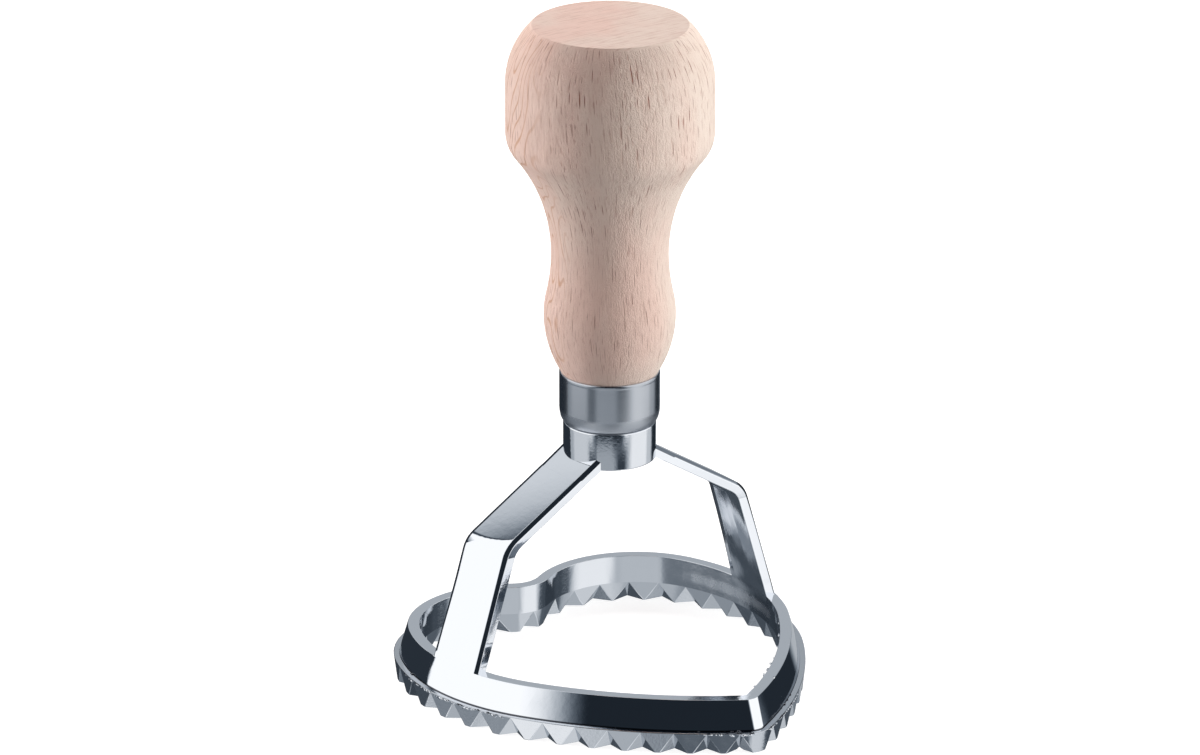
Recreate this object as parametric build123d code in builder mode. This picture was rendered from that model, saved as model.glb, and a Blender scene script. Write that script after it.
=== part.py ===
"""Heart-shaped ravioli stamp: a turned wooden handle on a cast yoke with a toothed cutting ring.

Millimetres, +Z up. The cutting edge stands on z = 0, the heart lies about the Z axis with its tip
towards -Y and its lobes side by side in X, and the handle stands a little behind the heart's middle.
"""

import os
from math import pi, radians, sin, sqrt, tan

from build123d import *

# Heart outline, measured over the ledge that runs round the ring
heart_width = 69.8  # across the two lobes
heart_length = 73.6  # from the tip to the top of the lobes
tip_r = 4.7
flank_r = 80.0  # the gently bowed flank
side_r = 36.0  # the rounder side, between flank and lobe
side_y = 9.7  # where the heart is widest, behind its middle
lobe_r = 20.6
cleft_r = 2.6
wall_tip_r = 2.6  # the tip of the wall above the ledge
inner_tip_r = 1.0  # the tip of the opening

# Ring section, from the cutting edge up
tooth_h = 3.8  # cutting edge to ledge
band_h = 5.0  # ledge to top rim
ledge = 0.95  # ledge beyond the foot of the wall
wall_lean = 1.5  # the wall's top behind its foot
root_w = 4.2  # ledge to inner crease, where the ring is widest
outer_draft = 0.4  # outer tooth faces, ledge to cutting edge
inner_draft = 1.0  # inner tooth faces, crease to cutting edge

# Teeth
tooth_count = 38  # even, so that a tooth stands at the tip and another in the cleft
tooth_flat = 0.9  # width of a tooth's end
tooth_crowding = 0.05  # how much closer the teeth stand at the tip, and wider apart in the cleft
land = 0.6  # metal between a flute and the tooth face behind it

# Yoke
handle_y = 6.5  # handle axis behind the middle of the heart
yoke_h = 39.5  # cutting edge to the underside of the boss
boss_r = 7.85
boss_h = 6.5
boss_edge_r = 0.25
arm_w = 10.8
arm_t = 1.9
arm_slope = 31.5  # fall of the upper legs
foot_flare = 1.3  # the lower legs widen backwards to the ring
flare_h = 22.0  # height of that flare above the ledge
bend_r = 3.0  # inside the bend of an arm
arm_chamfer = 0.6  # along the outer edges of the arms

# Ferrule
ferrule_r = 8.5
ferrule_h = 8.9
ferrule_wall = 0.6
ferrule_corner_r = 2.0
ferrule_lip_r = 0.5  # the outer edge of its mouth, rolled over

# Handle, heights above the mouth of the ferrule
handle_h = 60.7
mouth_step = 0.3  # the wood stands this far inside the ferrule's rim
bulge_r = 11.1
bulge_h = 10.2
bulge_arc_r = 14.3
waist_r = 9.85
waist_h = 20.8
shoulder_r = 6.0
knob_r = 17.45
belt_h = 8.5  # straight side of the knob
crown_h = 10.0
flat_r = 13.1  # flat top of the knob

# Fixing stud
stud_r = 3.0
stud_in_boss = 5.0
stud_in_wood = 24.0
stud_chamfer = 0.6

# Fits
thread_clearance = 0.05
hole_clearance = 0.3
spigot_clearance = 0.1
end_clearance = 0.5
cut_over = 1.0  # how far cutters run past the metal
flute_over = 1.5  # a flute's cutter, as wide as this many flutes

os.makedirs("parts", exist_ok=True)

ring_h = tooth_h + band_h
boss_top = yoke_h + boss_h
ferrule_top = boss_top + ferrule_h
handle_axis = Axis((0, handle_y, 0), (0, 0, 1))
handle_plane = Plane((0, handle_y, 0), x_dir=(1, 0, 0), z_dir=(0, -1, 0))

# Heart geometry: the centres of its arcs, each tangent to the next
tip_c = Vector(0, tip_r - heart_length / 2)
side_c = Vector(heart_width / 2 - side_r, side_y)
tip_to_side = (side_c - tip_c).normalized()
span = (side_c - tip_c).length
flank_reach = flank_r - tip_r
flank_along = (flank_reach**2 - (flank_r - side_r) ** 2 + span**2) / (2 * span)
flank_aside = Vector(-tip_to_side.Y, tip_to_side.X) * sqrt(flank_reach**2 - flank_along**2)
flank_c = tip_c + tip_to_side * flank_along + flank_aside
lobe_y = heart_length / 2 - lobe_r
lobe_c = Vector(side_c.X + sqrt((side_r - lobe_r) ** 2 - (lobe_y - side_y) ** 2), lobe_y)
cleft_c = Vector(0, lobe_y + sqrt((lobe_r + cleft_r) ** 2 - lobe_c.X**2))
flank_to_side = (side_c - flank_c).normalized()
side_to_lobe = (lobe_c - side_c).normalized()
lobe_to_cleft = (cleft_c - lobe_c).normalized()


def half_heart(inset, point_r):
    """The right half of the outline, tip to cleft, drawn in from the ledge and with a tip of its own."""
    point_c = Vector(0, flank_c.Y - sqrt((flank_r - inset - point_r) ** 2 - flank_c.X**2))
    tip_to_flank = (point_c - flank_c).normalized()
    with BuildLine() as half:
        arc = TangentArc(
            point_c - Vector(0, point_r), flank_c + tip_to_flank * (flank_r - inset), tangent=(1, 0)
        )
        for end in (
            flank_c + flank_to_side * (flank_r - inset),
            side_c + side_to_lobe * (side_r - inset),
            lobe_c + lobe_to_cleft * (lobe_r - inset),
            cleft_c - Vector(0, cleft_r + inset),
        ):
            arc = TangentArc(arc @ 1, end, tangent=arc % 1)
    return half.line


def heart(height, inset, point_r):
    """The whole outline at one height, as a face."""
    with BuildSketch(Plane.XY.offset(height)) as outline:
        with BuildLine():
            add(half_heart(inset, point_r))
            mirror(about=Plane.YZ)
        make_face()
    return outline.sketch


# Tooth places: nearly even steps along a line in the middle of the cutting edge
edge_w = root_w - inner_draft - outer_draft
pitch_inset = outer_draft + edge_w / 2
pitch_line = Wire(half_heart(pitch_inset, tip_r - pitch_inset).edges())
tooth_pitch = 2 * pitch_line.length / tooth_count
flute_w = tooth_pitch - tooth_flat


def tooth_place(step):
    """Upright place on the pitch line, so many teeth round from the tip, local y pointing outwards."""
    share = 2 * step / tooth_count
    side = 1 if share <= 1 else -1
    share = min(share, 2 - share)
    distance = share - tooth_crowding / pi * sin(pi * share)
    spot = pitch_line @ distance
    run = pitch_line % distance
    return Plane(
        origin=(side * spot.X, spot.Y, 0), x_dir=(-run.X, -side * run.Y, 0), z_dir=(0, 0, 1)
    ).location


def flute(crest_y, end_y, valley_y):
    """Cutter of one flute: a three-sided point that opens downwards from the crest of the teeth.

    crest_y is the tooth face at the ledge or crease, end_y the same face at the cutting edge, and
    valley_y the flute's deepest line there, all from the pitch line, outwards positive.
    """
    grow = (tooth_h + cut_over) / tooth_h
    reach = grow * flute_over
    valley = crest_y + (valley_y - crest_y) * grow
    mouth = valley + (end_y - valley_y) * reach
    with BuildPart() as cutter:
        with BuildSketch(Plane.XY.offset(-cut_over)) as base:
            Polygon(
                (0, valley), (flute_w / 2 * reach, mouth), (-flute_w / 2 * reach, mouth), align=None
            )
        loft([base.sketch.face(), Vertex(0, crest_y, tooth_h)], ruled=True)
    return cutter.part


outer_end = edge_w / 2
inner_end = -edge_w / 2
outer_flute = flute(outer_end + outer_draft, outer_end, inner_end + land)
inner_flute = flute(inner_end - inner_draft, inner_end, outer_end - land)

# Yoke geometry: the upper legs lie in a roof, and the lower ones carry on the wall of the ring
arm_front = handle_y - arm_w / 2
arm_back = handle_y + arm_w / 2
wall_top = ledge + wall_lean
lean = wall_lean / band_h
slope = tan(radians(arm_slope))
rim_w = arm_t * sqrt(1 + lean**2)  # a leg measured level, and the flat top rim it stands on
roof_t = arm_t * sqrt(1 + slope**2)  # an upper leg measured upright
root_x = sqrt(boss_r**2 - (arm_w / 2) ** 2)
roof_top = yoke_h + roof_t + root_x * slope


def under_roof(depth):
    """Space over the rim, below the roof and between the sides: depth 0 out to the arms, 1 inside them."""
    top = roof_top - depth * roof_t
    height = top - ring_h
    side_foot_r = side_r - wall_top - depth * rim_w
    with BuildPart() as space:
        with BuildSketch(Plane.XZ.offset(cut_over - arm_front)):
            Polygon(
                (0, top),
                (heart_width / 2, top - heart_width / 2 * slope),
                (heart_width / 2, ring_h),
                (0, ring_h),
                align=None,
            )
        extrude(amount=-arm_w - foot_flare - 2 * cut_over)
        with Locations((side_c.X, side_c.Y, ring_h)):
            Cone(
                side_foot_r,
                side_foot_r - lean * height,
                height,
                align=(Align.CENTER, Align.CENTER, Align.MIN),
                mode=Mode.INTERSECT,
            )
        across = space.edges().filter_by(lambda edge: abs((edge % 0.5).Y) > 0.9)
        bend = across.filter_by(lambda edge: edge.center().Z > ring_h + bend_r).sort_by(Axis.X)[-1]
        fillet(bend, bend_r + (1 - depth) * arm_t)
        mirror(about=Plane.YZ)
    return space.part


with BuildPart() as yoke:
    with BuildSketch(Plane.YZ):
        with BuildLine():
            Polyline(
                (arm_back + foot_flare, tooth_h),
                (arm_front, tooth_h),
                (arm_front, boss_top),
                (arm_back, boss_top),
                (arm_back, tooth_h + flare_h),
            )
            TangentArc(
                (arm_back, tooth_h + flare_h), (arm_back + foot_flare, tooth_h), tangent=(0, -1)
            )
        make_face()
    extrude(amount=heart_width / 2, both=True)
    add(under_roof(0), mode=Mode.INTERSECT)
    add(under_roof(1), mode=Mode.SUBTRACT)
    outside = yoke.faces().filter_by(lambda face: face.normal_at().Z > 0.2)
    chamfer(outside.edges().filter_by(lambda edge: abs((edge % 0.5).Y) < 0.5), arm_chamfer)

with BuildPart() as boss:
    with Locations((0, handle_y, yoke_h)):
        Cylinder(boss_r, boss_h, align=(Align.CENTER, Align.CENTER, Align.MIN))
    fillet(boss.edges(), boss_edge_r)

with BuildPart() as cast_frame:
    loft([heart(0, outer_draft, tip_r - outer_draft), heart(tooth_h, 0, tip_r)], ruled=True)
    loft([heart(tooth_h, ledge, wall_tip_r), heart(ring_h, wall_top, wall_tip_r)], ruled=True)
    add(yoke.part)
    add(boss.part)
    loft(
        [heart(0, root_w - inner_draft, inner_tip_r), heart(tooth_h, root_w, inner_tip_r)],
        ruled=True,
        mode=Mode.SUBTRACT,
    )
    loft(
        [heart(tooth_h, root_w, inner_tip_r), heart(ring_h, wall_top + rim_w, inner_tip_r)],
        ruled=True,
        mode=Mode.SUBTRACT,
    )
    with Locations(*[tooth_place(step + 0.5) for step in range(tooth_count)]):
        add(outer_flute, mode=Mode.SUBTRACT)
    with Locations(*[tooth_place(step) for step in range(tooth_count)]):
        add(inner_flute, mode=Mode.SUBTRACT)
    with Locations((0, handle_y, boss_top)):
        Hole(stud_r + thread_clearance, depth=stud_in_boss)
cast_frame.part.label = "cast_frame"

with BuildPart() as ferrule:
    with Locations((0, handle_y, boss_top)):
        Cylinder(ferrule_r, ferrule_h, align=(Align.CENTER, Align.CENTER, Align.MIN))
    fillet(ferrule.faces().sort_by(Axis.Z)[0].edges(), ferrule_corner_r)
    offset(amount=-ferrule_wall, openings=ferrule.faces().sort_by(Axis.Z)[-1])
    with Locations((0, handle_y, boss_top + ferrule_wall)):
        Hole(stud_r + hole_clearance)
    fillet(ferrule.edges().group_by(Axis.Z)[-1].sort_by(SortBy.RADIUS)[-1], ferrule_lip_r)
ferrule.part.label = "ferrule"


def ogee(full, hollow, full_r):
    """Where a full arc of radius full_r runs into a hollow one; both stand upright at their ends."""
    drop = hollow - full
    hollow_r = (drop.X**2 + drop.Y**2) / (-2 * drop.X) - full_r
    full_c = full - Vector(full_r, 0)
    hollow_c = hollow + Vector(hollow_r, 0)
    return full_c + (hollow_c - full_c).normalized() * full_r


spigot_r = ferrule_r - ferrule_wall - spigot_clearance
spigot_end = boss_top + ferrule_wall + end_clearance
knob_top = ferrule_top + handle_h
belt_top = Vector(knob_r, knob_top - crown_h)
belt_end = belt_top - Vector(0, belt_h)
waist = Vector(waist_r, ferrule_top + waist_h)
bulge = Vector(bulge_r, ferrule_top + bulge_h)
mouth = Vector(ferrule_r - mouth_step, ferrule_top)
neck_meet = ogee(belt_end, waist, shoulder_r)
bulge_meet = ogee(bulge, waist, bulge_arc_r)

with BuildPart() as wooden_handle:
    with BuildSketch(handle_plane):
        with BuildLine():
            Line((0, knob_top), (flat_r, knob_top))
            TangentArc(belt_top, (flat_r, knob_top), tangent=(0, 1))
            Line(belt_top, belt_end)
            TangentArc(belt_end, neck_meet, tangent=(0, -1))
            TangentArc(waist, neck_meet, tangent=(0, 1))
            TangentArc(waist, bulge_meet, tangent=(0, -1))
            TangentArc(bulge, bulge_meet, tangent=(0, 1))
            TangentArc(bulge, mouth, tangent=(0, -1))
            Polyline(mouth, (spigot_r, ferrule_top), (spigot_r, spigot_end), (0, spigot_end), (0, knob_top))
        make_face()
    revolve(axis=handle_axis)
    spigot_rim = wooden_handle.faces().sort_by(Axis.Z)[0].edges()
    chamfer(spigot_rim, ferrule_corner_r - ferrule_wall)
    with Locations(Plane((0, handle_y, spigot_end), z_dir=(0, 0, -1))):
        Hole(stud_r + thread_clearance, depth=stud_in_wood + end_clearance)
wooden_handle.part.label = "wooden_handle"

stud_start = boss_top - stud_in_boss
stud_end = spigot_end + stud_in_wood
with BuildPart() as fixing_stud:
    with Locations((0, handle_y, stud_start)):
        Cylinder(stud_r, stud_end - stud_start, align=(Align.CENTER, Align.CENTER, Align.MIN))
    chamfer(fixing_stud.edges().filter_by(GeomType.CIRCLE), stud_chamfer)
fixing_stud.part.label = "fixing_stud"

for piece in (wooden_handle, ferrule, cast_frame, fixing_stud):
    export_step(piece.part, f"parts/{piece.part.label}.step")
    print(piece.part.label, round(piece.part.volume, 1), piece.part.is_valid)
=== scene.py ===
# %% [markdown]
# # A heart-shaped ravioli stamp
# The stamp is a turned beech handle, a satin steel ferrule and one bright plated casting: a yoke of
# two flat arms on a heart-shaped ring of teeth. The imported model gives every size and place, so this
# lesson only dresses it: softer edges and flash on the casting, a rolled lip on the ferrule, and the
# three finishes. Lengths are metres and +Z is up.

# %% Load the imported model
import math
import random

import bmesh
import bpy
from mathutils import Matrix, Vector


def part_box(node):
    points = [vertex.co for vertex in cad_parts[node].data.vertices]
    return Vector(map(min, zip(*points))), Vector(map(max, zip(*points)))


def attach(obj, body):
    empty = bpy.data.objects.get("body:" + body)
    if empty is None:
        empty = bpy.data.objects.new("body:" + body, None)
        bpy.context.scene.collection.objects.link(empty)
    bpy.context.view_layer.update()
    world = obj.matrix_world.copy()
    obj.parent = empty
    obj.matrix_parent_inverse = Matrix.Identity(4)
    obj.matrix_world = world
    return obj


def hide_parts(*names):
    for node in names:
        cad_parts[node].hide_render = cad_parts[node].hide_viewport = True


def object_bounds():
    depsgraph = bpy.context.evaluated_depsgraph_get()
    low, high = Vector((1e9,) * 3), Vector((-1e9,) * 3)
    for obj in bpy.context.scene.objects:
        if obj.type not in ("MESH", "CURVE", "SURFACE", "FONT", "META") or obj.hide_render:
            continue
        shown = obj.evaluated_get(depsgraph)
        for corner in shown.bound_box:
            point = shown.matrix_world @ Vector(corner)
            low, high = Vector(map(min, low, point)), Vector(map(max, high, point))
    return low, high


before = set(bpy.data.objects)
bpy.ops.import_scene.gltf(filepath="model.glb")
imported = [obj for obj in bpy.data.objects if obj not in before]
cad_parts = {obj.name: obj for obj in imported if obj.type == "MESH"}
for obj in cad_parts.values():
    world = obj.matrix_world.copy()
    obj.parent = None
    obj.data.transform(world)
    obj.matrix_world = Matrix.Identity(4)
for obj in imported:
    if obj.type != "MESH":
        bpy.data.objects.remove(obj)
cad_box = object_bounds()
mm = 0.001
print("nodes", sorted(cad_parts), "box", cad_box)

# %% [markdown]
# ## The camera
# The view was found by fitting the model's edges to the picture: a long lens, far away, so the lines
# hardly run together. A long lens is a small field of view; Blender wants it as a focal length on a
# 36 mm sensor, which follows from the focal length in pixels of a picture 1200 wide.

# %% Camera
picture_width = 1200
focal_pixels = 7933
eye = Vector((-731.2, -1007.64, 514.44)) * mm
aim = Vector((-1.62, 7.03, 53.59)) * mm
roll = math.radians(0.078)

lens = bpy.data.cameras.new("camera")
lens.sensor_width = 36
lens.lens = focal_pixels / picture_width * lens.sensor_width
lens.clip_start = 0.05
camera = bpy.data.objects.new("camera", lens)
facing = (eye - aim).to_track_quat("Z", "Y").to_matrix() @ Matrix.Rotation(roll, 3, "Z")
camera.matrix_world = Matrix.Translation(eye) @ facing.to_4x4()
bpy.context.scene.collection.objects.link(camera)
bpy.context.scene.camera = camera
bpy.context.scene.view_settings.view_transform = "Standard"
camera_bearing = math.degrees(math.atan2(-eye.x, -eye.y))
print("lens", round(lens.lens, 1), "mm, camera bearing", round(camera_bearing, 1))

# %% [markdown]
# ## Helpers for shader nodes
# Every finish here is a small graph of nodes. Wiring them by hand takes three lines a node, so one
# helper adds a node, sets it and connects it: an input may be a plain value or another node's output.
# Three more wrap the nodes that come up again and again.

# %% Node helpers
def put(tree, kind, inputs=None, **settings):
    """Adds a node of a kind to a tree, with its settings and inputs, and gives it back."""
    node = tree.nodes.new(kind)
    for name, value in settings.items():
        setattr(node, name, value)
    for key, value in (inputs or {}).items():
        if isinstance(value, bpy.types.NodeSocket):
            tree.links.new(value, node.inputs[key])
        else:
            node.inputs[key].default_value = value
    return node


def calc(tree, operation, *values):
    """One step of arithmetic between outputs or numbers."""
    node = put(tree, "ShaderNodeMath", dict(enumerate(values)), operation=operation)
    return node.outputs[0]


def ease(tree, value, start, end, low=0.0, high=1.0):
    """A smooth ramp from low to high while value goes from start to end."""
    node = put(
        tree,
        "ShaderNodeMapRange",
        {"Value": value, "From Min": start, "From Max": end, "To Min": low, "To Max": high},
        interpolation_type="SMOOTHSTEP",
    )
    return node.outputs["Result"]


def blend_colours(tree, share, first, second):
    """Colour first going over to second by share."""
    node = put(tree, "ShaderNodeMix", {0: share, 6: first, 7: second}, data_type="RGBA")
    return node.outputs[2]

# %% [markdown]
# ## The studio round the stamp
# Bright plate has hardly a colour of its own: it shows what stands round it. The picture shows two
# tall soft boxes left and right of the camera, a dark room behind it, dark corners behind the stamp
# and a table below with bright and shaded parts. The world is painted that way for mirror rays, each
# panel a soft-edged rectangle by bearing and height in degrees. A later panel lies over an earlier
# one. The camera itself sees plain white, and matt surfaces see a weak warm fill.

# %% Studio panels
# bearing from and to, right of the camera positive; height from and to; softness of the sides and of
# the top and bottom; brightness
panels = {
    "table": (-200, 200, -100, -30, 6, 4, 0.5),
    "table, left": (-117, -60, -66, -29, 7, 3, 0.32),
    "table, under the left teeth": (-80, -14, -70, -58, 3, 2, 1.0),
    "table, behind left": (-200, -116, -66, -22, 7, 4, 0.08),
    "table, far left": (-112, -68, -73, -58, 6, 5, 0.06),
    "table, left of the camera": (-56, -32, -43, -31, 6, 2, 0.98),
    "table, under the camera": (-12, 24, -42, -31, 8, 2, 0.13),
    "table, right": (30, 102, -80, -31, 8, 3, 0.72),
    "table, behind right": (117, 165, -62, -22, 6, 4, 0.12),
    "inside the ring, left": (-108, -32, -31, -22, 9, 1.5, 0.2),
    "inside the ring, before": (-30, 22, -30, -22, 5, 1.5, 0.55),
    "inside the ring, right": (31, 92, -30, -22, 12, 1.5, 0.95),
    "inside the ring, behind": (88, 150, -31, -22, 13, 1.5, 0.07),
    "dark corner, left": (-172, -111, -26, 16, 1, 4, 0.03),
    "dark corner, right": (122, 158, -24, 12, 4, 3, 0.022),
    "wall behind, right": (119, 158, 12, 25, 3, 3, 0.2),
    "dark room": (-38, 34, -12, 80, 6, 4, 0.018),
    "wall behind, left": (-170, -137.5, 24, 70, 4, 4, 0.7),
    "dark wall behind, left": (-182, -160, 31, 60, 3, 3, 0.08),
    "gap behind the box": (-134, -126, 22, 60, 3, 4, 0.05),
    "gap, left": (-51, -31, -22, -13, 3, 2, 0.08),
    "table before the camera": (-29, 8, -23, -10, 5, 3, 0.42),
    "gap, right": (16, 43, -22, -12, 8, 2, 0.05),
    "soft box, left": (-111, -70, -9, 60, 1, 3, 1.08),
    "soft box, left, front": (-80, -38, -9, 60, 10, 3, 1.08),
    "soft box, left, above": (-126, -60, 22, 60, 2, 5, 1.08),
    "soft box, left, below": (-97, -52, -22, -7, 4, 2, 0.7),
    "soft box, right": (38, 120, -9, 60, 3, 3, 1.08),
    "soft box, right, below": (47, 124, -22, -7, 6, 2, 0.65),
    "lamp, right": (53, 104, -23.5, -7, 5, 2, 1.0),
}
backdrop = 0.46

world = bpy.data.worlds.new("studio")
bpy.context.scene.world = world
world.use_nodes = True
tree = world.node_tree
tree.nodes.clear()
ray = put(tree, "ShaderNodeTexCoord").outputs["Generated"]
turned = put(
    tree,
    "ShaderNodeVectorRotate",
    {"Vector": ray, "Angle": math.radians(camera_bearing)},
    rotation_type="Z_AXIS",
).outputs[0]
axes = put(tree, "ShaderNodeSeparateXYZ", {0: turned}).outputs
towards = calc(tree, "MULTIPLY", axes["Y"], -1.0)
bearing = calc(tree, "DEGREES", calc(tree, "ARCTAN2", axes["X"], towards))
height = calc(tree, "DEGREES", calc(tree, "ARCSINE", axes["Z"]))


def between(tree, value, start, end, soft):
    """One between start and end, nought outside, with soft ends."""
    opens = ease(tree, value, start - soft, start + soft)
    closes = ease(tree, value, end + soft, end - soft)
    return calc(tree, "MULTIPLY", opens, closes)


shown = backdrop
for left, right, low, high, soft_sides, soft_ends, level in panels.values():
    across = between(tree, bearing, left, right, soft_sides)
    upright = between(tree, height, low, high, soft_ends)
    mask = calc(tree, "MULTIPLY", across, upright)
    mixed = put(tree, "ShaderNodeMix", {0: mask, 2: shown, 3: level}, data_type="FLOAT")
    shown = mixed.outputs[0]
print("panels", len(panels))

# %% [markdown]
# ## What each kind of ray sees
# In the picture the dark parts of the metal are bluish and the bright ones are not, so each colour of
# the panels gets a slightly different power. The Light Path node then tells mirror rays, camera rays
# and matt light apart.

# %% World light
fill = (0.08, 0.014, 0.006, 1)
white = (1, 1, 1, 1)
red_power, blue_power = 1.08, 0.92
path = put(tree, "ShaderNodeLightPath").outputs
tinted = put(
    tree,
    "ShaderNodeCombineColor",
    {
        "Red": calc(tree, "POWER", shown, red_power),
        "Green": shown,
        "Blue": calc(tree, "POWER", shown, blue_power),
    },
).outputs[0]
seen = blend_colours(tree, path["Is Glossy Ray"], fill, tinted)
seen = blend_colours(tree, path["Is Camera Ray"], seen, white)
light = put(tree, "ShaderNodeBackground", {"Color": seen, "Strength": 1.0})
put(tree, "ShaderNodeOutputWorld", {"Surface": light.outputs[0]})
print("world nodes", len(tree.nodes))

# %% [markdown]
# ## Lamps
# The wood is light at both sides and dark down its middle, so the matt light comes from the sides
# too, and a third lamp high behind lights the flat top but not the crown below it. Wide soft boxes keep
# the sides evenly light and the edge of the shade soft. They are left out of mirror rays, which see
# the panels instead.

# %% Lamps
box_height = 0.45
box_distance = 0.75
lit_spot = Vector((0, 6.5, 60)) * mm


def lamp(name, bearing_deg, height_deg, width, power, colour):
    """A soft box that looks at the stamp, placed by bearing from the camera and height."""
    data = bpy.data.lights.new(name, "AREA")
    data.shape = "RECTANGLE"
    data.size = width
    data.size_y = box_height
    data.energy = power
    data.color = colour
    turn = math.radians(bearing_deg - camera_bearing)
    rise = math.radians(height_deg)
    level_part = math.cos(rise)
    way = Vector((math.sin(turn) * level_part, -math.cos(turn) * level_part, math.sin(rise)))
    holder = bpy.data.objects.new(name, data)
    facing = way.to_track_quat("Z", "Y").to_matrix().to_4x4()
    holder.matrix_world = Matrix.Translation(lit_spot + way * box_distance) @ facing
    holder.visible_glossy = False
    bpy.context.scene.collection.objects.link(holder)
    return holder


# name; bearing and height in degrees; width in metres; power in watts; colour
lamps = [
    lamp("left_lamp", -94, 10, 0.45, 6.5, (0.98, 1.0, 1.0)),
    lamp("right_lamp", 79, 12, 0.4, 6.6, (0.95, 1.0, 1.0)),
    lamp("back_lamp", 178, 48, 0.5, 5.2, (0.97, 0.96, 0.95)),
]
print("lamps", [each.name for each in lamps])

# %% [markdown]
# ## Floor
# The floor is pale and takes the shadow. On white paper it would be just short of white, so for the
# camera alone it also glows a little, which adds to the light it returns and keeps the shadow.

# %% Floor
floor_half = 3.0
floor_grey = (0.44, 0.44, 0.44, 1)
floor_glow = 0.86

floor_mesh = bpy.data.meshes.new("floor")
bm = bmesh.new()
bmesh.ops.create_grid(bm, x_segments=1, y_segments=1, size=floor_half)
bm.to_mesh(floor_mesh)
bm.free()
floor = bpy.data.objects.new("floor", floor_mesh)
bpy.context.scene.collection.objects.link(floor)
floor.visible_glossy = False

floor_finish = bpy.data.materials.new("floor_white")
floor_finish.use_nodes = True
tree = floor_finish.node_tree
tree.nodes.clear()
matt = put(tree, "ShaderNodeBsdfDiffuse", {"Color": floor_grey})
path = put(tree, "ShaderNodeLightPath").outputs
for_camera = calc(tree, "MULTIPLY", path["Is Camera Ray"], floor_glow)
glow = put(tree, "ShaderNodeEmission", {"Strength": for_camera})
both = put(tree, "ShaderNodeAddShader", {0: matt.outputs[0], 1: glow.outputs[0]})
put(tree, "ShaderNodeOutputMaterial", {"Surface": both.outputs[0]})
floor_mesh.materials.append(floor_finish)
print("floor", len(floor_mesh.polygons), "face")

# %% [markdown]
# ## Beech
# Beech is pale pinkish beige with a grain that runs up the handle. Three things make it beech and not
# just wood: short reddish dashes where the rays end, growth rings so faint that only a few flecks of
# them show at one side, and a fine fuzz from sanding that shows where the light grazes. The dashes
# keep the same width round the handle, so the coordinates are rolled up first: one runs round it, one
# out from its axis and one up. The handle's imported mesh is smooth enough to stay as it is.

# %% Wood coordinates
wood = bpy.data.materials.new("beech")
wood.use_nodes = True
tree = wood.node_tree
wood_place = put(tree, "ShaderNodeTexCoord").outputs["Object"]
wood_low, wood_high = (Vector(corner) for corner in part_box("wooden_handle"))
wood_axis_y = (wood_low.y + wood_high.y) / 2
mean_radius = 14.0 * mm
grain_lean = 0.05
spots = put(tree, "ShaderNodeSeparateXYZ", {0: wood_place}).outputs
from_axis = calc(tree, "SUBTRACT", spots["Y"], wood_axis_y)
angle = calc(tree, "ARCTAN2", spots["X"], calc(tree, "MULTIPLY", from_axis, -1.0))
round_it = calc(tree, "MULTIPLY_ADD", spots["Z"], grain_lean, calc(tree, "MULTIPLY", angle, mean_radius))
squares = [calc(tree, "POWER", side, 2.0) for side in (spots["X"], from_axis)]
outwards = calc(tree, "SQRT", calc(tree, "ADD", *squares))
rolled = put(tree, "ShaderNodeCombineXYZ", {0: round_it, 1: outwards, 2: spots["Z"]}).outputs[0]
print("handle from", round(wood_low.z / mm, 1), "to", round(wood_high.z / mm, 1), "mm")


# %% Wood grain
def scaled(tree, vector, across, along):
    """Object coordinates with so many units a millimetre across and along the grain."""
    scale = (across / mm, across / mm, along / mm)
    return put(tree, "ShaderNodeMapping", {"Vector": vector, "Scale": scale}).outputs[0]


def stretched(tree, vector, round_it, outwards, along):
    """Coordinates round, out of and along the handle with so many units a millimetre."""
    scale = (round_it / mm, outwards / mm, along / mm)
    return put(tree, "ShaderNodeMapping", {"Vector": vector, "Scale": scale}).outputs[0]


def noise(tree, vector, detail=2.0, roughness=0.5, warp=0.0):
    """Plain noise at the scale of its coordinates."""
    inputs = {"Vector": vector, "Scale": 1.0, "Detail": detail, "Roughness": roughness, "Distortion": warp}
    return put(tree, "ShaderNodeTexNoise", inputs).outputs["Fac"]


blush = noise(tree, scaled(tree, wood_place, 0.06, 0.02), 3.0)
fibre = noise(tree, stretched(tree, rolled, 3.6, 0.8, 0.2), 4.0, 0.6)
fuzz = noise(tree, stretched(tree, rolled, 3.2, 1.0, 1.6), 3.0, 0.65, 0.9)
sanding = noise(tree, scaled(tree, wood_place, 0.22, 0.22), 2.0)
figure = noise(tree, stretched(tree, rolled, 0.16, 0.1, 0.0358), 1.0)
patches = noise(tree, scaled(tree, wood_place, 0.12, 0.05), 2.0)
print("grain nodes", len(tree.nodes))

# %% [markdown]
# ## The dashes of the beech
# Each dash is one cell of a Voronoi texture spread over the rolled-out handle. The texture also gives
# the place of the cell's point, so the distance from it can be measured with a different yardstick
# round the handle and along it, which makes the round spot a thin dash. The cell's random colour
# makes the dashes longer and shorter, darker and paler.


# %% Dashes
least_size, more_size = 0.4, 0.9
least_depth, more_depth = 0.3, 0.7


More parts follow.
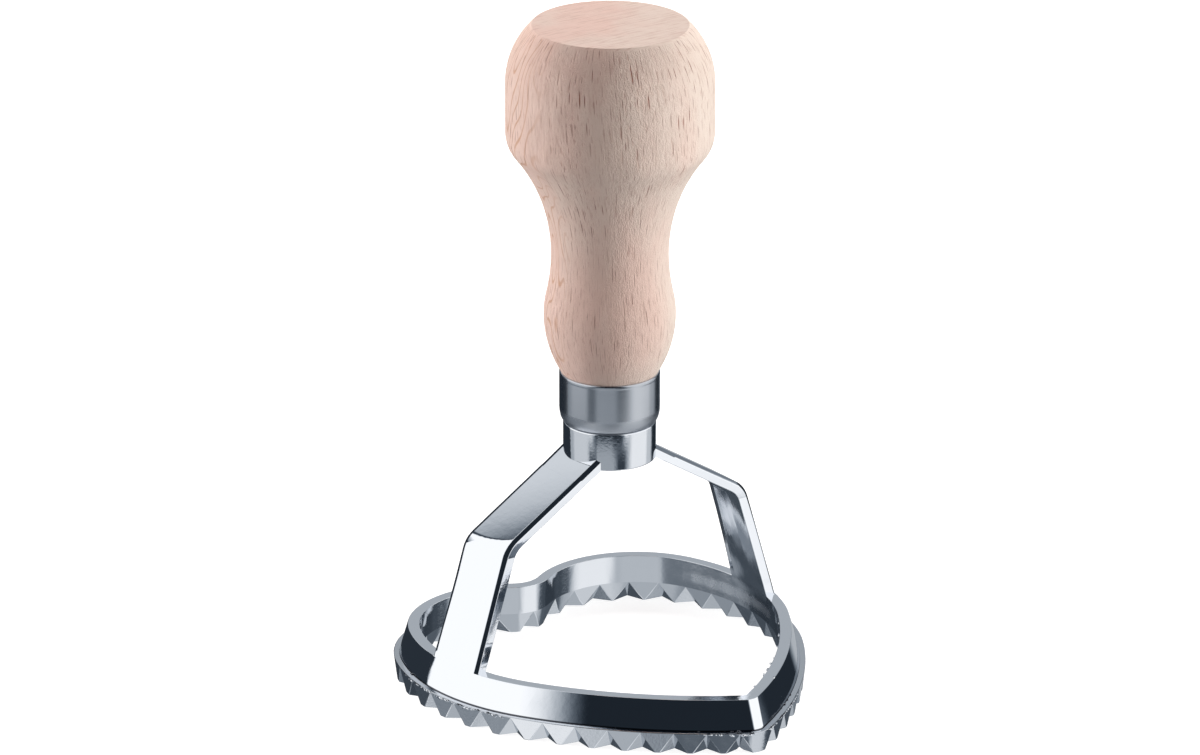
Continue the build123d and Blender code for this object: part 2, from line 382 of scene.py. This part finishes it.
def dashes(tree, spacing_round, spacing_along, half_width, half_length):
    """How much of a dash there is at each spot; all four lengths are millimetres."""
    scale = (1 / (spacing_round * mm), 1 / (spacing_along * mm))
    sides = [calc(tree, "MULTIPLY", way, size) for way, size in zip((round_it, spots["Z"]), scale)]
    flat = put(tree, "ShaderNodeCombineXYZ", dict(enumerate(sides))).outputs[0]
    cells = put(
        tree,
        "ShaderNodeTexVoronoi",
        {"Vector": flat, "Scale": 1.0, "Randomness": 1.0},
        voronoi_dimensions="2D",
    ).outputs
    away = put(tree, "ShaderNodeVectorMath", {0: flat, 1: cells["Position"]}, operation="SUBTRACT")
    yardstick = (spacing_round / half_width, spacing_along / half_length, 0)
    spread = put(tree, "ShaderNodeVectorMath", {0: away.outputs[0], 1: yardstick}, operation="MULTIPLY")
    far = put(tree, "ShaderNodeVectorMath", {0: spread.outputs[0]}, operation="LENGTH").outputs["Value"]
    luck = put(tree, "ShaderNodeSeparateColor", {0: cells["Color"]}).outputs
    size = calc(tree, "MULTIPLY_ADD", luck[0], more_size, least_size)
    depth = calc(tree, "MULTIPLY_ADD", luck[1], more_depth, least_depth)
    return calc(tree, "MULTIPLY", ease(tree, calc(tree, "DIVIDE", far, size), 1.0, 0.5), depth)


long_dashes = dashes(tree, 1.05, 4.0, 0.1, 1.5)
short_dashes = dashes(tree, 0.7, 2.2, 0.07, 0.6)
print("with dashes", len(tree.nodes))

# %% [markdown]
# ## The colours of the beech
# The layers go on one over another, from the broad blush to the dashes. The growth rings are thin
# arches: lines of equal height in a stretched noise, like the lines of a map. They are kept to the
# side that was nearest the bark, which here is the left of the picture. The flat top is cut across
# the grain, so it shows none of this, only the lines of the sanding belt.

# %% Wood colours
pinkish = (0.82, 0.605, 0.525, 1)
yellowish = (0.81, 0.675, 0.59, 1)
ring_brown = (0.58, 0.31, 0.18, 1)
fibre_brown = (0.58, 0.40, 0.32, 1)
short_dash_red = (0.44, 0.21, 0.15, 1)
long_dash_red = (0.3, 0.115, 0.075, 1)
belt_brown = (0.58, 0.38, 0.31, 1)
belt_turn = math.radians(20)
belt_scale = (180, 2600, 200)
arch_steps = 13.0
bark_turn = math.radians(camera_bearing)
to_bark = calc(
    tree,
    "MULTIPLY_ADD",
    spots["X"],
    -math.cos(bark_turn),
    calc(tree, "MULTIPLY", from_axis, math.sin(bark_turn)),
)
bark_share = calc(tree, "DIVIDE", to_bark, outwards)
bark_side = ease(tree, bark_share, 0.6, 0.88)
map_step = calc(tree, "FRACT", calc(tree, "MULTIPLY", figure, arch_steps))
arches = ease(tree, calc(tree, "ABSOLUTE", calc(tree, "SUBTRACT", map_step, 0.5)), 0.13, 0.03)
crowded = ease(tree, patches, 0.36, 0.6, 0.35, 1.0)
on_top = ease(tree, spots["Z"], wood_high.z - 0.5 * mm, wood_high.z - 0.1 * mm)
off_top = calc(tree, "SUBTRACT", 1.0, on_top)
belt = put(
    tree,
    "ShaderNodeMapping",
    {"Vector": wood_place, "Rotation": (0, 0, belt_turn), "Scale": belt_scale},
).outputs[0]
belt_lines = noise(tree, belt, 3.0, 0.6)


def layer(under, share, strength, colour, where):
    """Lays a colour over another by a share, as strongly as said and only where it belongs."""
    amount = calc(tree, "MULTIPLY", calc(tree, "MULTIPLY", share, where), strength)
    return blend_colours(tree, amount, under, colour)


# Partly painted light: the random blush is the wood's own tone, but the lean to pinkish on the bark side
# and to a lighter yellowish on the other side is a painted tint of the lamps' light.
blush_and_lamp_tint = calc(tree, "MULTIPLY_ADD", bark_share, -0.1, blush)
tone = blend_colours(tree, ease(tree, blush_and_lamp_tint, 0.36, 0.64), pinkish, yellowish)
on_side = calc(tree, "MULTIPLY", off_top, crowded)
tone = layer(tone, calc(tree, "MULTIPLY", arches, bark_side), 0.75, ring_brown, off_top)
tone = layer(tone, ease(tree, fibre, 0.5, 0.75), 0.5, fibre_brown, off_top)
tone = layer(tone, short_dashes, 0.7, short_dash_red, on_side)
tone = layer(tone, long_dashes, 1.0, long_dash_red, on_side)
tone = layer(tone, ease(tree, belt_lines, 0.5, 0.68), 0.6, belt_brown, on_top)
print("with colours", len(tree.nodes))

# %% Wood shader
pore_share, fibre_share, sanding_share = -0.2, 0.4, 2.0
relief_depth = 0.2 * mm

shader = tree.nodes["Principled BSDF"]
tree.links.new(tone, shader.inputs["Base Color"])
shader.inputs["Roughness"].default_value = 0.48
shader.inputs["Specular IOR Level"].default_value = 0.5
pores = calc(tree, "MULTIPLY", calc(tree, "MAXIMUM", long_dashes, short_dashes), pore_share)
side_relief = calc(tree, "ADD", calc(tree, "MULTIPLY_ADD", fibre, fibre_share, fuzz), pores)
side_relief = calc(tree, "MULTIPLY", side_relief, off_top)
top_relief = calc(tree, "MULTIPLY_ADD", belt_lines, on_top, side_relief)
relief = calc(tree, "MULTIPLY_ADD", sanding, sanding_share, top_relief)
raised = put(tree, "ShaderNodeBump", {"Height": relief, "Strength": 0.8, "Distance": relief_depth})
tree.links.new(raised.outputs[0], shader.inputs["Normal"])
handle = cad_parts["wooden_handle"]
handle.data.materials.clear()
handle.data.materials.append(wood)
print("wood nodes", len(tree.nodes))

# %% [markdown]
# ## Bright plate
# The casting is zinc with bright plate over it. The plate follows every unevenness below it: outside
# and on the arms the casting was polished first, so it mirrors almost cleanly; inside the ring it is
# a little cloudy; and the teeth keep the grain of the mould. The casting carries a number for each
# face, "dullness", and the finish reads it: nought for polished, one for as cast, two for a ridge worn
# bright. A polishing wheel also rounds the flat arms, most of all at their rear edge. Just above the
# ledge the polished wall gets a thin dark line of painted shade, for the dark reflection in that corner.

# %% Rounded arms
plate = bpy.data.materials.new("bright_plate")
plate.use_nodes = True
tree = plate.node_tree
plate_place = put(tree, "ShaderNodeTexCoord").outputs["Object"]
dullness = put(tree, "ShaderNodeAttribute", attribute_name="dullness").outputs["Fac"]
ledge_z = 3.8 * mm
half_arm = 5.4 * mm
rear_edge_low, rear_edge_high = 4.95 * mm, 4.25 * mm
rear_slope = 0.2
roof_low, roof_middle, roof_high = 28.0 * mm, 36.5 * mm, 48.0 * mm
roof_curve = 2.4
arm_foot, arm_clear, arm_bend = 9.0 * mm, 14.0 * mm, 24.0 * mm
crown_depth = 2.4

spots = put(tree, "ShaderNodeSeparateXYZ", {0: plate_place}).outputs
off_middle = calc(tree, "SUBTRACT", spots["Y"], wood_axis_y)
crown = calc(tree, "POWER", calc(tree, "MINIMUM", calc(tree, "ABSOLUTE", off_middle), half_arm), 2.0)
rear_edge = ease(tree, spots["Z"], arm_foot, arm_bend, rear_edge_low, rear_edge_high)
past_edge = calc(tree, "MAXIMUM", calc(tree, "SUBTRACT", off_middle, rear_edge), 0.0)
rolled_off = calc(tree, "MULTIPLY_ADD", past_edge, rear_slope, crown)
up_roof = calc(tree, "MINIMUM", calc(tree, "MAXIMUM", spots["Z"], roof_low), roof_high)
from_middle = calc(tree, "POWER", calc(tree, "SUBTRACT", up_roof, roof_middle), 2.0)
arm_shape = calc(tree, "MULTIPLY_ADD", from_middle, roof_curve, rolled_off)
on_arms = ease(tree, spots["Z"], arm_foot, arm_clear)
crowned = put(
    tree,
    "ShaderNodeBump",
    {"Height": calc(tree, "MULTIPLY", arm_shape, on_arms), "Strength": 1.0, "Distance": crown_depth},
    invert=True,
)
print("arm nodes", len(tree.nodes))

# %% Plate
bright = (0.88, 0.91, 0.955, 1)
as_cast = (0.45, 0.48, 0.52, 1)
# The third grey is painted shade: a thin dark line in the corner where the wall meets the ledge.
corner_shade_grey = (0.08, 0.085, 0.1, 1)
belt_low, belt_high, belt_soft = 4.9 * mm, 6.7 * mm, 0.5 * mm
# Heights of that line of painted shade, from just below the ledge to just above it.
corner_shade_low, corner_shade_high, corner_shade_soft = ledge_z - 0.1 * mm, ledge_z + 0.18 * mm, 0.06 * mm

sweep = noise(tree, scaled(tree, plate_place, 0.06, 0.06), 1.0)
pebble = noise(tree, scaled(tree, plate_place, 0.8, 0.8))
wheel = noise(tree, scaled(tree, plate_place, 0.12, 3.0), 3.0)
grain = noise(tree, scaled(tree, plate_place, 2.0, 2.0), 3.0, 0.6)
clouds = noise(tree, scaled(tree, plate_place, 0.3, 0.12), 3.0)
grain_strength = calc(tree, "MINIMUM", dullness, 1.0)
right_wall = ease(tree, dullness, 0.3, 0.75)
belt_mask = between(tree, spots["Z"], belt_low, belt_high, belt_soft)
rough_belt = calc(tree, "MULTIPLY", right_wall, belt_mask)
bumps = [
    (sweep, 0.4, 0.12 * mm),
    (pebble, 0.3, 0.015 * mm),
    (wheel, 0.2, 0.006 * mm),
    (grain, grain_strength, 0.03 * mm),
]
surface = crowned.outputs[0]
for waves, strength, depth in bumps:
    surface = put(
        tree,
        "ShaderNodeBump",
        {"Height": waves, "Strength": strength, "Distance": depth, "Normal": surface},
    ).outputs[0]

worn = ease(tree, dullness, 1.5, 1.9)
skin = calc(tree, "MULTIPLY", grain_strength, calc(tree, "SUBTRACT", 1.0, worn))
skin = calc(tree, "MULTIPLY", skin, calc(tree, "MULTIPLY_ADD", rough_belt, -0.5, 0.8))
plate_colour = blend_colours(tree, skin, bright, as_cast)
# Painted shade: the polished wall is darkened in a thin line just above the ledge, in place of the dark
# reflection in that corner.
corner_shade_band = between(tree, spots["Z"], corner_shade_low, corner_shade_high, corner_shade_soft)
corner_shade = calc(tree, "MULTIPLY", corner_shade_band, ease(tree, dullness, 0.02, 0.01))
plate_colour = blend_colours(tree, corner_shade, plate_colour, corner_shade_grey)

shader = tree.nodes["Principled BSDF"]
tree.links.new(surface, shader.inputs["Normal"])
tree.links.new(plate_colour, shader.inputs["Base Color"])
shader.inputs["Metallic"].default_value = 1.0
polish = ease(tree, pebble, 0.4, 0.7, 0.03, 0.055)
cloudy = calc(tree, "MULTIPLY", grain_strength, ease(tree, clouds, 0.4, 0.62, 0.08, 0.2))
roughness = calc(tree, "MULTIPLY_ADD", rough_belt, 0.14, calc(tree, "ADD", cloudy, polish))
tree.links.new(roughness, shader.inputs["Roughness"])
print("plate nodes", len(tree.nodes))

# %% [markdown]
# ## The casting, with softened edges
# No edge of a casting is sharp: the mould wears and the plate builds up, so each edge is a thin bright
# line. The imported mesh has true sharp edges, so a copy of it is welded, its flat faces are joined up
# again, and its sharp edges get a narrow bevel. A bevel is only as wide as the shortest edge allows,
# so the edges go in groups, and a few very short ones stay as they are. The shading is smooth over
# the curved walls, so the edges that have to stay crisp are marked: inner corners, the flat faces of
# the teeth, and the rims of the level faces.

# %% Casting mesh
weld = 0.002 * mm
flat_angle = math.radians(0.6)
tooth_flat_angle = math.radians(4)
wall_flat_angle = math.radians(2.5)
back_y = 12.0 * mm
sharp_angle = math.radians(24)
rim_z = 8.8 * mm
root_z = 38.6 * mm
near = 0.02 * mm
tiny_length = 0.2 * mm
level_face = 0.99

casting_bm = bmesh.new()
dull = casting_bm.faces.layers.float.new("dullness")
casting_bm.from_mesh(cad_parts["cast_frame"].data)
bmesh.ops.remove_doubles(casting_bm, verts=casting_bm.verts, dist=weld)


def middle(edge):
    """The middle of an edge."""
    return (edge.verts[0].co + edge.verts[1].co) / 2


def join_flat(bm, angle, top, front=-1.0):
    """Joins faces in one plane below a height and behind a line, but not level ones, which have holes."""
    edges = []
    for edge in bm.edges:
        level = all(abs(face.normal.z) > level_face for face in edge.link_faces)
        if middle(edge).z < top and middle(edge).y > front and not level:
            edges.append(edge)
    verts = list({corner for edge in edges for corner in edge.verts})
    bmesh.ops.dissolve_limit(bm, angle_limit=angle, verts=verts, edges=edges)


join_flat(casting_bm, flat_angle, 1.0)
join_flat(casting_bm, wall_flat_angle, rim_z + near, back_y)
join_flat(casting_bm, tooth_flat_angle, ledge_z - near)
tiny = [e for e in casting_bm.edges if e.calc_length() < tiny_length and middle(e).z < ledge_z]
bmesh.ops.collapse(casting_bm, edges=tiny, uvs=False)
everything = casting_bm.verts[:] + casting_bm.edges[:] + casting_bm.faces[:]
bmesh.ops.bisect_plane(casting_bm, geom=everything, plane_co=(0, 0, root_z), plane_no=(0, 0, 1))
print("casting faces", len(casting_bm.faces), "tiny edges closed up", len(tiny))

# %% Softened edges
def sharp_edges(bm, low, high, room=0.0):
    """The sharp edges that stand out between two heights and have room round their ends."""
    found = []
    for edge in bm.edges:
        stands_out = edge.calc_face_angle_signed(0.0) > sharp_angle
        if stands_out and edge.smooth and low < middle(edge).z < high:
            if all(side.calc_length() > room for end in edge.verts for side in end.link_edges):
                found.append(edge)
    return found


def soften(bm, edges, width, top, finish=0.03):
    """Rounds edges over with a narrow strip, kept below a height, and gives how wide it came out."""
    made = bmesh.ops.bevel(
        bm,
        geom=edges,
        offset=width,
        offset_type="OFFSET",
        affect="EDGES",
        segments=2,
        profile=0.5,
        clamp_overlap=True,
        material=-1,
    )
    for corner in made["verts"]:
        corner.co.x = min(max(corner.co.x, cad_box[0].x), cad_box[1].x)
        corner.co.z = min(corner.co.z, top)
    for face in made["faces"]:
        face[dull] = finish
    widths = [face.calc_area() / max(e.calc_length() for e in face.edges) for face in made["faces"]]
    return round(2 * sorted(widths)[len(widths) // 2] / mm, 3)


outline = []
for edge in casting_bm.edges:
    if edge.calc_face_angle(0.0) > sharp_angle:
        outline.append((middle(edge), edge.verts[1].co - edge.verts[0].co))
        if middle(edge).z > root_z:
            edge.smooth = False
ridges = sharp_edges(casting_bm, -near, ledge_z - near)
print("ridge strips", soften(casting_bm, ridges, 0.2 * mm, ledge_z, 2.0), "mm")
arms = sharp_edges(casting_bm, rim_z + near, root_z - near)
behind = [edge for edge in arms if middle(edge).y > wood_axis_y]
print("rear arm strips", soften(casting_bm, behind, 0.2 * mm, root_z), "mm")
arms = sharp_edges(casting_bm, rim_z + near, root_z - near)
before = [edge for edge in arms if middle(edge).y < wood_axis_y]
print("front arm strips", soften(casting_bm, before, 0.12 * mm, root_z), "mm")
ledges = sharp_edges(casting_bm, ledge_z - near, ledge_z + near)
print("ledge strips", soften(casting_bm, ledges, 0.12 * mm, ledge_z, 0.9), "mm")
rims = sharp_edges(casting_bm, rim_z - near, rim_z + near, 0.2 * mm)
print("rim strips", soften(casting_bm, rims, 0.1 * mm, rim_z), "mm")

# %% Creases
crease = math.radians(50)
level_crease = math.radians(5)
slanting_crease = math.radians(18)
tooth_zone = ledge_z + 0.6 * mm
creases = 0
for edge in casting_bm.edges:
    bend = edge.calc_face_angle_signed(0.0)
    rise = abs(edge.verts[1].co.z - edge.verts[0].co.z) / max(edge.calc_length(), weld)
    least = level_crease if rise < 0.5 else slanting_crease
    by_tooth = max(v.co.z for v in edge.verts) < tooth_zone and abs(bend) > least
    by_level = len({abs(face.normal.z) > level_face for face in edge.link_faces}) > 1
    if by_tooth or by_level or bend < -sharp_angle or bend > crease:
        edge.smooth = False
        creases += 1
print("creases", creases)

# %% [markdown]
# ## How dull each face is
# Teeth lie under the ledge; the inner wall is what looks back at the middle of the heart, and it is
# rougher near the right foot; inside and under the arms the wheel hardly reached; the boss and the
# left arm's front were only brushed over; the rim was ground level; the rest was polished. The strips
# of the softened edges have their number already: the ridges of the teeth are worn to a pale line.

# %% Dullness
tooth_dullness, ledge_dullness, rim_dullness = 0.32, 0.6, 0.2
wall_dullness, foot_extra = 0.2, 0.55
boss_dullness, inside_dullness, front_dullness = 0.35, 0.4, 0.15
foot_x, foot_far_y, foot_fade = 20 * mm, 28 * mm, 10 * mm
boss_reach = 8.1 * mm
boss_middle = Vector((0, wood_axis_y, 0))

for face in casting_bm.faces:
    if face[dull] > 0:
        continue
    spot = face.calc_center_median()
    looks_in = face.normal.x * spot.x + face.normal.y * spot.y < 0
    from_boss = (spot - boss_middle).to_2d().length
    arm_inside = face.normal.x * spot.x < -0.3 * abs(spot.x)
    if spot.z < ledge_z - 2 * near:
        face[dull] = tooth_dullness
    elif spot.z < ledge_z + near:
        face[dull] = ledge_dullness
    elif spot.z < rim_z - near:
        if looks_in:
            face[dull] = wall_dullness
            if spot.x > foot_x and spot.y > 0:
                face[dull] += foot_extra * min(max((foot_far_y - spot.y) / foot_fade, 0.0), 1.0)
    elif spot.z < rim_z + near:
        face[dull] = rim_dullness if face.normal.z > level_face else 0.0
    elif spot.z > root_z and from_boss < boss_reach and abs(face.normal.z) < 0.3:
        face[dull] = boss_dullness
    elif arm_inside or face.normal.z < -0.3:
        face[dull] = inside_dullness
    elif face.normal.y < -0.9 and spot.x < 0:
        face[dull] = front_dullness
print("dull faces", sum(1 for face in casting_bm.faces if face[dull] > 0.1))

# %% [markdown]
# ## Flash
# Where the halves of the mould meet, a little metal creeps out and breaks off in crumbs: under the
# ledge by the tip, along the ledge at the left, and as a burr inside the rim. Each crumb is a small
# sphere of twenty faces, pressed flat along its edge and dented at random, with a fixed seed.

# %% Flash
def crumb(bm, spot, along, size, chance):
    """A dented crumb of metal at a spot, stretched along an edge."""
    lump = bmesh.ops.create_icosphere(bm, subdivisions=1, radius=size)["verts"]
    for corner in lump:
        corner.co *= chance.uniform(0.6, 1.0)
    bmesh.ops.scale(bm, vec=(chance.uniform(0.8, 2.2), 0.5, chance.uniform(0.4, 0.8)), verts=lump)
    turn = Matrix.Rotation(math.atan2(along.y, along.x), 3, "Z")
    tilt = Matrix.Rotation(chance.uniform(-0.4, 0.4), 3, "Y")
    bmesh.ops.rotate(bm, cent=(0, 0, 0), matrix=turn @ tilt, verts=lump)
    bmesh.ops.translate(bm, vec=spot, verts=lump)
    for corner in lump:
        for axis in range(3):
            corner.co[axis] = min(max(corner.co[axis], cad_box[0][axis]), cad_box[1][axis])


chance = random.Random(4)
crumbs = 0
for spot, along in outline:
    by_tip = spot.y < -29 * mm and -10 * mm < spot.x < -1 * mm
    right_of_tip = spot.y < -24 * mm and 2 * mm < spot.x < 15 * mm
    far_left = spot.x < -31 * mm and -6 * mm < spot.y < 18 * mm
    inside_rim = 3 * mm < spot.x < 27 * mm and -31 * mm < spot.y < -8 * mm
    inward = Vector((-spot.x, -spot.y, 0)).normalized()
    if abs(spot.z - ledge_z) < near and (by_tip or right_of_tip or far_left):
        for share in (-0.3, 0.3):
            seat = spot + along * share - inward * 0.06 * mm
            seat.z -= chance.uniform(0.0, 0.4) * mm
            crumb(casting_bm, seat, along, chance.uniform(0.22, 0.48) * mm, chance)
            crumbs += 1
    elif abs(spot.z - rim_z) < near and inside_rim and chance.random() < 0.8:
        seat = spot + inward * 0.15 * mm - Vector((0, 0, 0.15 * mm))
        crumb(casting_bm, seat, along, chance.uniform(0.3, 0.6) * mm, chance)
        crumbs += 1
print("crumbs", crumbs)

# %% Casting piece
casting_mesh = bpy.data.meshes.new("casting")
casting_bm.to_mesh(casting_mesh)
casting_bm.free()
casting_mesh.shade_smooth()
casting = bpy.data.objects.new("casting", casting_mesh)
bpy.context.scene.collection.objects.link(casting)
casting_mesh.materials.append(plate)
weighted = casting.modifiers.new("even_shading", "WEIGHTED_NORMAL")
weighted.keep_sharp = True
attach(casting, "root")
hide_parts("cast_frame")
print("casting", len(casting_mesh.polygons), "faces")

# %% [markdown]
# ## Satin steel
# The ferrule is drawn from thin steel and brushed to a satin: it shows the same studio as the plate,
# only so blurred that soft upright bands are left. Most of that is the roughness; fine turning marks
# break it up a little, and the drawn corner at the bottom is duller still. The hidden stud gets the
# same finish.

# %% Steel
steel_grey = (0.54, 0.57, 0.615, 1)
finest, coarsest, corner_extra = 0.205, 0.23, 0.16
corner_top, corner_full = 3.0 * mm, 1.2 * mm
turning_depth = 0.006 * mm

satin = bpy.data.materials.new("satin_steel")
satin.use_nodes = True
tree = satin.node_tree
steel_place = put(tree, "ShaderNodeTexCoord").outputs["Object"]
turning = noise(tree, scaled(tree, steel_place, 0.12, 2.5), 3.0)
shader = tree.nodes["Principled BSDF"]
shader.inputs["Base Color"].default_value = steel_grey
shader.inputs["Metallic"].default_value = 1.0
cup_low, cup_high = (Vector(corner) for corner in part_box("ferrule"))
steel_z = put(tree, "ShaderNodeSeparateXYZ", {0: steel_place}).outputs["Z"]
corner_blur = ease(tree, steel_z, cup_low.z + corner_top, cup_low.z + corner_full, 0.0, corner_extra)
brushed = calc(tree, "ADD", ease(tree, turning, 0.3, 0.7, finest, coarsest), corner_blur)
tree.links.new(brushed, shader.inputs["Roughness"])
grooved = put(tree, "ShaderNodeBump", {"Height": turning, "Strength": 0.1, "Distance": turning_depth})
tree.links.new(grooved.outputs[0], shader.inputs["Normal"])
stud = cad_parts["fixing_stud"]
stud.data.materials.clear()
stud.data.materials.append(satin)
print("steel nodes", len(tree.nodes))

# %% [markdown]
# ## The ferrule, with its rolled lip
# The ferrule is a drawn cup: a round corner below, a straight wall, and a mouth whose edge is rolled
# in over the wood, with a faint groove under the roll. It is a body of revolution, so one profile is
# drawn on the axis plane and spun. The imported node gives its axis, its radius, its height and the
# hole in its floor. The corner below is oval: taller than it is deep.

# %% Ferrule
cup_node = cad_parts["ferrule"]
cup_axis = Vector((0, (cup_low.y + cup_high.y) / 2, 0))
cup_r = (cup_high.x - cup_low.x) / 2
hole_r = min((v.co - cup_axis).to_2d().length for v in cup_node.data.vertices)
cup_wall = 0.6 * mm
groove_z = cup_high.z - 0.8 * mm
groove_half, groove_depth = 0.15 * mm, 0.02 * mm
# millimetres in from the wall and up from the floor
oval_corner = [(0.95, 0.0), (0.5, 0.35), (0.2, 1.0), (0.05, 1.8), (0.0, 2.6)]

section = [(hole_r, cup_low.z)]
section += [(cup_r - inwards * mm, cup_low.z + up * mm) for inwards, up in oval_corner]
section += [
    (cup_r, groove_z - groove_half),
    (cup_r - groove_depth, groove_z),
    (cup_r, groove_z + groove_half),
    (cup_r, cup_high.z),
    (cup_r - cup_wall, cup_high.z),
    (cup_r - cup_wall, cup_low.z + cup_wall),
    (hole_r, cup_low.z + cup_wall),
]
cup_bm = bmesh.new()
corners = [cup_bm.verts.new(cup_axis + Vector((r, 0, z))) for r, z in section]
sides = [cup_bm.edges.new(pair) for pair in zip(corners, corners[1:] + corners[:1])]
bmesh.ops.spin(
    cup_bm,
    geom=corners + sides,
    cent=cup_axis,
    axis=(0, 0, 1),
    angle=math.tau,
    steps=96,
    use_merge=True,
)
bmesh.ops.remove_doubles(cup_bm, verts=cup_bm.verts, dist=weld)
bmesh.ops.recalc_face_normals(cup_bm, faces=cup_bm.faces)
print("ferrule radius", round(cup_r / mm, 3), "hole", round(hole_r / mm, 3), "faces", len(cup_bm.faces))

# %% Ferrule corners
def rings_at(bm, radius, level):
    """The edges that run round the ferrule at a radius and a height."""
    found = []
    for edge in bm.edges:
        ends = [(v.co - cup_axis).to_2d().length for v in edge.verts]
        at_radius = all(abs(r - radius) < near for r in ends)
        if at_radius and all(abs(v.co.z - level) < near for v in edge.verts):
            found.append(edge)
    return found


# radius and height of the ring; how far it is rounded; steps
rounded = [
    (cup_r - oval_corner[0][0] * mm, cup_low.z, 0.15 * mm, 3),
    (cup_r, cup_high.z, 0.3 * mm, 5),
    (cup_r - cup_wall, cup_low.z + cup_wall, 1.4 * mm, 5),
]
for radius, level, round_r, steps in rounded:
    bmesh.ops.bevel(
        cup_bm,
        geom=rings_at(cup_bm, radius, level),
        offset=round_r,
        offset_type="OFFSET",
        affect="EDGES",
        segments=steps,
        profile=0.5,
        clamp_overlap=True,
        material=-1,
    )
cup_mesh = bpy.data.meshes.new("ferrule_cup")
cup_bm.to_mesh(cup_mesh)
cup_bm.free()
cup_mesh.shade_smooth()
cup = bpy.data.objects.new("ferrule_cup", cup_mesh)
bpy.context.scene.collection.objects.link(cup)
cup_mesh.materials.append(satin)
even = cup.modifiers.new("even_shading", "WEIGHTED_NORMAL")
even.keep_sharp = True
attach(cup, "root")
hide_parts("ferrule")
print("ferrule", len(cup_mesh.polygons), "faces")
